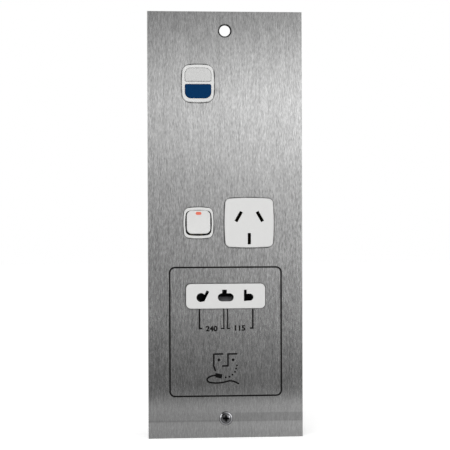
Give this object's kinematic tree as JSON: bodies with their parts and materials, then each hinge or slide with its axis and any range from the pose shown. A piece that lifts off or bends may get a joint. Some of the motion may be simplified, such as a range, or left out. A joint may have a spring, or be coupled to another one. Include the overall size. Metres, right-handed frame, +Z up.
{
  "type": "shaver socket",
  "caption": "Tall brushed steel wall plate with a leakage breaker, a rocker switch, a flat-pin outlet and a shaver outlet for round and flat pins, and a transformer behind.",
  "frame": {"origin": "centre of the top fixing hole, on the plate's back face against the wall", "axes": "+X to the right seen from the room, +Y into the wall, +Z up along the plate's long side"},
  "size_m": [0.1, 0.0547, 0.275],
  "materials": {
    "stainless": "brushed, grain upright",
    "bright_screw": "polished",
    "nylon": "natural nylon",
    "black_plastic": "fine matt",
    "dark_grey_plastic": "fine matt",
    "zinc": "bright zinc plated",
    "white_plastic": "smooth satin",
    "pale_grey_plastic": "smooth satin",
    "blue_plastic": "smooth satin",
    "red_mark": "smooth satin",
    "spring_steel": "plain wire",
    "circuit_board": "resin coated",
    "ferrite": "matt",
    "copper": "enamelled wire",
    "brass": "bright",
    "lamination": "varnished",
    "cutout_body": "matt"
  },
  "bodies": {
    "plate": {"faceplate": "stainless", "fixing_screw": "bright_screw", "screw_retainer": "nylon", "carrier_frame": "black_plastic", "carrier_nuts": "zinc", "module_screws": "zinc", "rcd_bezel": "white_plastic", "reset_spring": "spring_steel", "test_spring": "spring_steel", "rcd_housing": "dark_grey_plastic", "rcd_board": "circuit_board", "sensing_toroid": "ferrite", "trip_bobbin": "nylon", "trip_winding": "copper", "contact_bridge": "dark_grey_plastic", "contact_fingers": "brass", "rcd_terminals": "brass", "rcd_terminal_screws": "zinc", "switch_bezel": "white_plastic", "switch_housing": "white_plastic", "common_terminal": "brass", "line_terminal": "brass", "switch_terminal_screws": "zinc", "socket_front": "white_plastic", "socket_housing": "white_plastic", "active_contact": "brass", "neutral_contact": "brass", "earth_contact": "brass", "socket_terminal_screws": "zinc", "shaver_insert": "white_plastic", "shaver_socket_base": "black_plastic", "base_screws": "zinc", "contact_240": "brass", "contact_common": "brass", "contact_115": "brass", "shutter_spring": "spring_steel", "shaver_housing": "black_plastic", "housing_nuts": "zinc", "housing_cover": "black_plastic", "cover_screws": "zinc", "transformer_core": "lamination", "transformer_bobbin": "nylon", "primary_winding": "copper", "secondary_winding": "copper", "core_screws": "zinc", "thermal_cutout": "cutout_body", "mains_terminals": "brass", "mains_terminal_screws": "zinc", "earth_tag": "brass", "earth_nut": "zinc"},
    "reset_button": {"reset_button": "pale_grey_plastic"},
    "test_button": {"test_button": "blue_plastic"},
    "rocker": {"rocker": "white_plastic", "rocker_marker": "red_mark", "switch_plunger": "nylon", "plunger_spring": "spring_steel"},
    "seesaw": {"seesaw_contact": "brass"},
    "shutter": {"shutter": "pale_grey_plastic"},
    "trip_plunger": {"trip_plunger": "spring_steel"}
  },
  "joints": [
    {"name": "reset_press", "type": "slide", "parent": "plate", "child": "reset_button", "axis": [0, 1, 0], "range_m": [0, 0.002], "stiffness_N_per_m": 250, "springref_m": -0.002, "deforming": ["reset_spring"]},
    {"name": "test_press", "type": "slide", "parent": "plate", "child": "test_button", "axis": [0, 1, 0], "range_m": [0, 0.002], "stiffness_N_per_m": 250, "springref_m": -0.002, "deforming": ["test_spring"]},
    {"name": "rocker_hinge", "type": "hinge", "parent": "plate", "child": "rocker", "pos_m": [-0.0174, 0.003, -0.12365], "axis": [1, 0, 0], "range_deg": [0, 10]},
    {"name": "seesaw_hinge", "type": "hinge", "parent": "plate", "child": "seesaw", "pos_m": [-0.0174, 0.0133, -0.12365], "axis": [1, 0, 0], "range_deg": [-12, 0]},
    {"name": "shutter_slide", "type": "slide", "parent": "plate", "child": "shutter", "axis": [0, 0, -1], "range_m": [0, 0.003], "stiffness_N_per_m": 150, "springref_m": -0.002, "deforming": ["shutter_spring"]},
    {"name": "trip_slide", "type": "slide", "parent": "plate", "child": "trip_plunger", "axis": [-1, 0, 0], "range_m": [0, 0.002], "stiffness_N_per_m": 150, "springref_m": -0.002}
  ],
  "couplings": [
    {"joint": "seesaw_hinge", "follows": "rocker_hinge", "ratio": -1.2}
  ]
}
